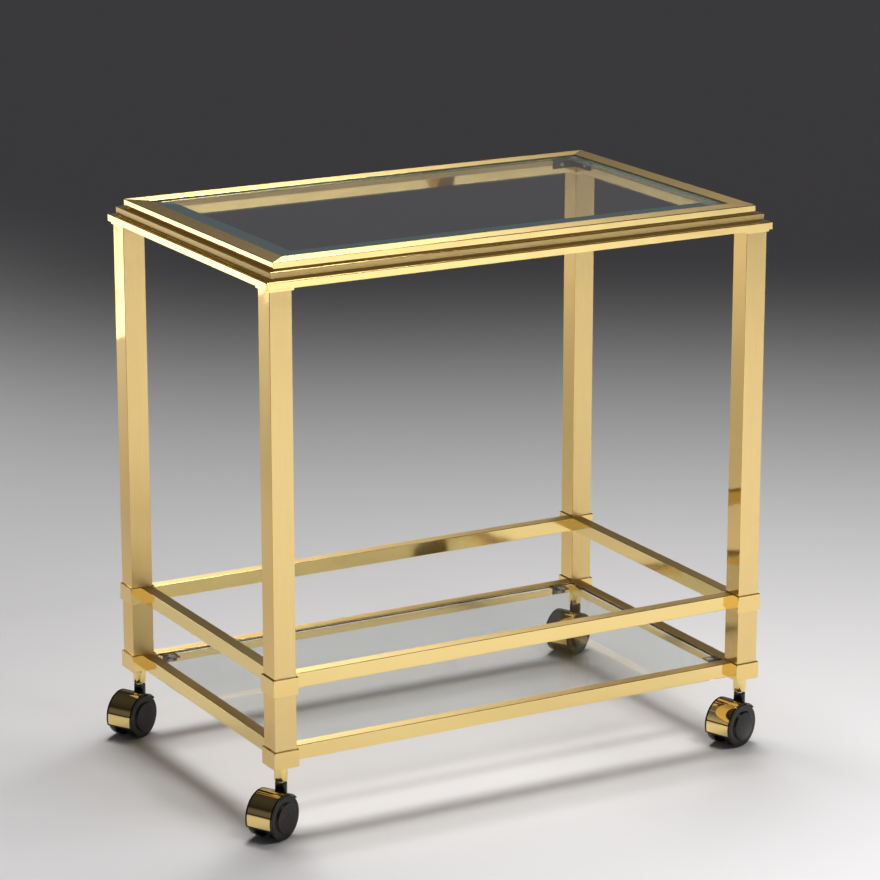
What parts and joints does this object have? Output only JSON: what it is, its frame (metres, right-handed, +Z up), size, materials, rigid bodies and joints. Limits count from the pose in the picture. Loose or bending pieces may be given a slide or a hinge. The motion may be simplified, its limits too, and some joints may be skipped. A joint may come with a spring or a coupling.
{
  "type": "dessert trolley",
  "caption": "Brass-framed serving trolley with a bevelled glass top in a stepped rim, a gallery rail over a glass shelf, and swivel casters.",
  "frame": {"origin": "on the floor, under the middle of the outline with the casters turned as at rest", "axes": "+X along the long side to the right, +Y to the back, +Z up"},
  "size_m": [0.7479, 0.4788, 0.72],
  "materials": {
    "top_glass": "clear float glass with a polished bevel",
    "shelf_glass": "clear float glass",
    "frame_brass": "polished and lacquered",
    "leg_brass": "brushed along the leg on the long sides, polished on the short sides",
    "collar_brass": "polished and lacquered",
    "rail_brass": "polished and lacquered",
    "ferrule_brass": "polished",
    "trim_brass": "bright plated",
    "bronze": "dark bronzed",
    "steel": "zinc plated",
    "soft_pad": "matt",
    "caster_black": "gloss moulded",
    "wheel_black": "satin moulded"
  },
  "bodies": {
    "frame": {"top_glass": "top_glass", "shelf_glass": "shelf_glass", "top_rail_front": "frame_brass", "top_rail_right": "frame_brass", "top_rail_back": "frame_brass", "top_rail_left": "frame_brass", "leg_front_left": "leg_brass", "leg_front_right": "leg_brass", "leg_back_right": "leg_brass", "leg_back_left": "leg_brass", "leg_caps": "frame_brass", "gallery_collar_front_left": "collar_brass", "gallery_collar_front_right": "collar_brass", "gallery_collar_back_right": "collar_brass", "gallery_collar_back_left": "collar_brass", "gallery_rail_front": "rail_brass", "gallery_rail_right": "rail_brass", "gallery_rail_back": "rail_brass", "gallery_rail_left": "rail_brass", "shelf_collar_front_left": "collar_brass", "shelf_collar_front_right": "collar_brass", "shelf_collar_back_right": "collar_brass", "shelf_collar_back_left": "collar_brass", "shelf_rail_front": "rail_brass", "shelf_rail_right": "rail_brass", "shelf_rail_back": "rail_brass", "shelf_rail_left": "rail_brass", "corner_keys": "steel", "corner_brackets": "bronze", "glass_clips": "bronze", "glass_pads": "soft_pad", "leg_top_plugs": "steel", "leg_bottom_plugs": "steel", "caster_ferrules": "ferrule_brass", "caster_stems": "steel"},
    "caster_front_left": {"caster_front_left_body": "caster_black", "caster_front_left_trim": "trim_brass", "caster_front_left_axle": "steel"},
    "wheel_front_left_left": {"caster_front_left_wheel_left": "wheel_black"},
    "wheel_front_left_right": {"caster_front_left_wheel_right": "wheel_black"},
    "caster_front_right": {"caster_front_right_body": "caster_black", "caster_front_right_trim": "trim_brass", "caster_front_right_axle": "steel"},
    "wheel_front_right_left": {"caster_front_right_wheel_left": "wheel_black"},
    "wheel_front_right_right": {"caster_front_right_wheel_right": "wheel_black"},
    "caster_back_right": {"caster_back_right_body": "caster_black", "caster_back_right_trim": "trim_brass", "caster_back_right_axle": "steel"},
    "wheel_back_right_left": {"caster_back_right_wheel_left": "wheel_black"},
    "wheel_back_right_right": {"caster_back_right_wheel_right": "wheel_black"},
    "caster_back_left": {"caster_back_left_body": "caster_black", "caster_back_left_trim": "trim_brass", "caster_back_left_axle": "steel"},
    "wheel_back_left_left": {"caster_back_left_wheel_left": "wheel_black"},
    "wheel_back_left_right": {"caster_back_left_wheel_right": "wheel_black"}
  },
  "joints": [
    {"name": "swivel_front_left", "type": "hinge", "parent": "frame", "child": "caster_front_left", "pos_m": [-0.32255, -0.20005, 0.05], "axis": [0, 0, 1], "continuous": true},
    {"name": "roll_front_left_left", "type": "hinge", "parent": "caster_front_left", "child": "wheel_front_left_left", "pos_m": [-0.3385, -0.20839, 0.0285], "axis": [-0.4633, 0.8862, 0], "continuous": true},
    {"name": "roll_front_left_right", "type": "hinge", "parent": "caster_front_left", "child": "wheel_front_left_right", "pos_m": [-0.3385, -0.20839, 0.0285], "axis": [-0.4633, 0.8862, 0], "continuous": true},
    {"name": "swivel_front_right", "type": "hinge", "parent": "frame", "child": "caster_front_right", "pos_m": [0.35295, -0.20005, 0.05], "axis": [0, 0, 1], "continuous": true},
    {"name": "roll_front_right_left", "type": "hinge", "parent": "caster_front_right", "child": "wheel_front_right_left", "pos_m": [0.33601, -0.20615, 0.0285], "axis": [-0.3387, 0.9409, 0], "continuous": true},
    {"name": "roll_front_right_right", "type": "hinge", "parent": "caster_front_right", "child": "wheel_front_right_right", "pos_m": [0.33601, -0.20615, 0.0285], "axis": [-0.3387, 0.9409, 0], "continuous": true},
    {"name": "swivel_back_right", "type": "hinge", "parent": "frame", "child": "caster_back_right", "pos_m": [0.35295, 0.21645, 0.05], "axis": [0, 0, 1], "continuous": true},
    {"name": "roll_back_right_left", "type": "hinge", "parent": "caster_back_right", "child": "wheel_back_right_left", "pos_m": [0.33677, 0.20856, 0.0285], "axis": [-0.4384, 0.8988, 0], "continuous": true},
    {"name": "roll_back_right_right", "type": "hinge", "parent": "caster_back_right", "child": "wheel_back_right_right", "pos_m": [0.33677, 0.20856, 0.0285], "axis": [-0.4384, 0.8988, 0], "continuous": true},
    {"name": "swivel_back_left", "type": "hinge", "parent": "frame", "child": "caster_back_left", "pos_m": [-0.32255, 0.21645, 0.05], "axis": [0, 0, 1], "continuous": true},
    {"name": "roll_back_left_left", "type": "hinge", "parent": "caster_back_left", "child": "wheel_back_left_left", "pos_m": [-0.33823, 0.20761, 0.0285], "axis": [-0.4909, 0.8712, 0], "continuous": true},
    {"name": "roll_back_left_right", "type": "hinge", "parent": "caster_back_left", "child": "wheel_back_left_right", "pos_m": [-0.33823, 0.20761, 0.0285], "axis": [-0.4909, 0.8712, 0], "continuous": true}
  ]
}
